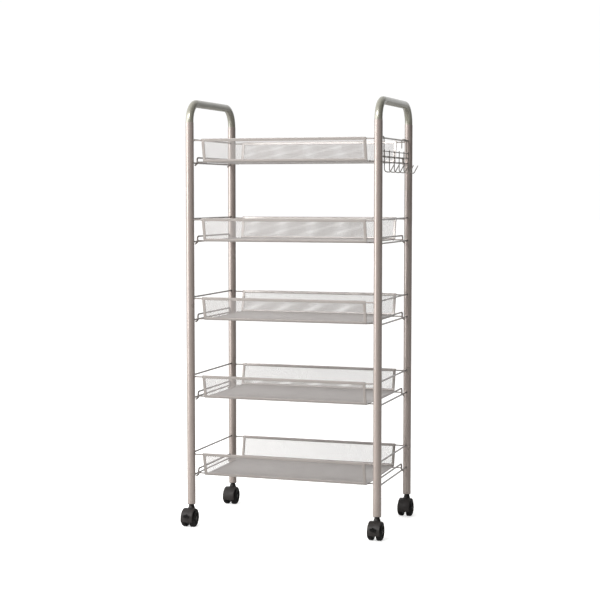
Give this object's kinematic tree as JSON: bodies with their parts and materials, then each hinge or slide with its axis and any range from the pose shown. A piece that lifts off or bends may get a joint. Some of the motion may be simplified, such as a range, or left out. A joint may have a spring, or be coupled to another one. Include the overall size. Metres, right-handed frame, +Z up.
{
  "type": "rolling pantry cart",
  "caption": "Open tower of mesh trays between round steel posts, with two push handles, a rack of hooks and twin-wheel swivel casters, the front ones with brakes.",
  "frame": {"origin": "on the floor, under the middle of the whole cart with its hook rack", "axes": "+Z up, +X to the cart's right, where the hook rack hangs, -Y to its front, where the casters have brakes"},
  "size_m": [0.5236, 0.3416, 1.046],
  "materials": {
    "post_paint": "satin",
    "handle_paint": "satin",
    "rod_paint": "satin",
    "tray_bands": "satin",
    "tray_mesh": "satin",
    "guard_wires": "satin",
    "rack_wire": "satin",
    "socket_plastic": "matte",
    "caster_hood": "matte",
    "caster_wheel": "matte",
    "brake_lever": "matte",
    "pin_steel": "zinc plated"
  },
  "bodies": {
    "frame": {"front_left_post": "post_paint", "front_left_socket": "socket_plastic", "front_right_post": "post_paint", "front_right_socket": "socket_plastic", "rear_left_post": "post_paint", "rear_left_socket": "socket_plastic", "rear_right_post": "post_paint", "rear_right_socket": "socket_plastic", "left_handle": "handle_paint", "left_top_rods": "rod_paint", "left_lower_rods": "rod_paint", "right_handle": "handle_paint", "right_top_rods": "rod_paint", "right_lower_rods": "rod_paint", "tier_1_tray_mesh": "tray_mesh", "tier_1_tray_bands": "tray_bands", "tier_1_guard_wires": "guard_wires", "tier_1_tie_wires": "guard_wires", "tier_2_tray_mesh": "tray_mesh", "tier_2_tray_bands": "tray_bands", "tier_2_guard_wires": "guard_wires", "tier_2_tie_wires": "guard_wires", "tier_3_tray_mesh": "tray_mesh", "tier_3_tray_bands": "tray_bands", "tier_3_guard_wires": "guard_wires", "tier_3_tie_wires": "guard_wires", "tier_4_tray_mesh": "tray_mesh", "tier_4_tray_bands": "tray_bands", "tier_4_guard_wires": "guard_wires", "tier_4_tie_wires": "guard_wires", "tier_5_tray_mesh": "tray_mesh", "tier_5_tray_bands": "tray_bands", "tier_5_guard_wires": "guard_wires", "tier_5_tie_wires": "guard_wires"},
    "front_left_caster": {"front_left_stem": "pin_steel", "front_left_hood": "caster_hood", "front_left_axle": "pin_steel"},
    "front_left_left_wheel": {"front_left_left_wheel": "caster_wheel"},
    "front_left_right_wheel": {"front_left_right_wheel": "caster_wheel"},
    "front_left_brake_lever": {"front_left_brake_lever": "brake_lever"},
    "front_right_caster": {"front_right_stem": "pin_steel", "front_right_hood": "caster_hood", "front_right_axle": "pin_steel"},
    "front_right_left_wheel": {"front_right_left_wheel": "caster_wheel"},
    "front_right_right_wheel": {"front_right_right_wheel": "caster_wheel"},
    "front_right_brake_lever": {"front_right_brake_lever": "brake_lever"},
    "rear_left_caster": {"rear_left_stem": "pin_steel", "rear_left_hood": "caster_hood", "rear_left_axle": "pin_steel"},
    "rear_left_left_wheel": {"rear_left_left_wheel": "caster_wheel"},
    "rear_left_right_wheel": {"rear_left_right_wheel": "caster_wheel"},
    "rear_right_caster": {"rear_right_stem": "pin_steel", "rear_right_hood": "caster_hood", "rear_right_axle": "pin_steel"},
    "rear_right_left_wheel": {"rear_right_left_wheel": "caster_wheel"},
    "rear_right_right_wheel": {"rear_right_right_wheel": "caster_wheel"},
    "hook_rack": {"hook_rack": "rack_wire"}
  },
  "joints": [
    {"name": "front_left_swivel", "type": "hinge", "parent": "frame", "child": "front_left_caster", "pos_m": [-0.24422, -0.12775, 0.042], "axis": [0, 0, 1], "continuous": true},
    {"name": "front_left_left_wheel_spin", "type": "hinge", "parent": "front_left_caster", "child": "front_left_left_wheel", "pos_m": [-0.24422, -0.13975, 0.021], "axis": [1, 0, 0], "continuous": true},
    {"name": "front_left_right_wheel_spin", "type": "hinge", "parent": "front_left_caster", "child": "front_left_right_wheel", "pos_m": [-0.24422, -0.13975, 0.021], "axis": [1, 0, 0], "continuous": true},
    {"name": "front_left_brake", "type": "hinge", "parent": "front_left_caster", "child": "front_left_brake_lever", "pos_m": [-0.24422, -0.15475, 0.031], "axis": [1, 0, 0], "range_deg": [0, 12]},
    {"name": "front_right_swivel", "type": "hinge", "parent": "frame", "child": "front_right_caster", "pos_m": [0.22978, -0.12775, 0.042], "axis": [0, 0, 1], "continuous": true},
    {"name": "front_right_left_wheel_spin", "type": "hinge", "parent": "front_right_caster", "child": "front_right_left_wheel", "pos_m": [0.22978, -0.13975, 0.021], "axis": [1, 0, 0], "continuous": true},
    {"name": "front_right_right_wheel_spin", "type": "hinge", "parent": "front_right_caster", "child": "front_right_right_wheel", "pos_m": [0.22978, -0.13975, 0.021], "axis": [1, 0, 0], "continuous": true},
    {"name": "front_right_brake", "type": "hinge", "parent": "front_right_caster", "child": "front_right_brake_lever", "pos_m": [0.22978, -0.15475, 0.031], "axis": [1, 0, 0], "range_deg": [0, 12]},
    {"name": "rear_left_swivel", "type": "hinge", "parent": "frame", "child": "rear_left_caster", "pos_m": [-0.24422, 0.15825, 0.042], "axis": [0, 0, 1], "continuous": true},
    {"name": "rear_left_left_wheel_spin", "type": "hinge", "parent": "rear_left_caster", "child": "rear_left_left_wheel", "pos_m": [-0.24422, 0.14625, 0.021], "axis": [1, 0, 0], "continuous": true},
    {"name": "rear_left_right_wheel_spin", "type": "hinge", "parent": "rear_left_caster", "child": "rear_left_right_wheel", "pos_m": [-0.24422, 0.14625, 0.021], "axis": [1, 0, 0], "continuous": true},
    {"name": "rear_right_swivel", "type": "hinge", "parent": "frame", "child": "rear_right_caster", "pos_m": [0.22978, 0.15825, 0.042], "axis": [0, 0, 1], "continuous": true},
    {"name": "rear_right_left_wheel_spin", "type": "hinge", "parent": "rear_right_caster", "child": "rear_right_left_wheel", "pos_m": [0.22978, 0.14625, 0.021], "axis": [1, 0, 0], "continuous": true},
    {"name": "rear_right_right_wheel_spin", "type": "hinge", "parent": "rear_right_caster", "child": "rear_right_right_wheel", "pos_m": [0.22978, 0.14625, 0.021], "axis": [1, 0, 0], "continuous": true},
    {"name": "rack_lift", "type": "slide", "parent": "frame", "child": "hook_rack", "axis": [0, 0, 1], "range_m": [0, 0.03]}
  ]
}
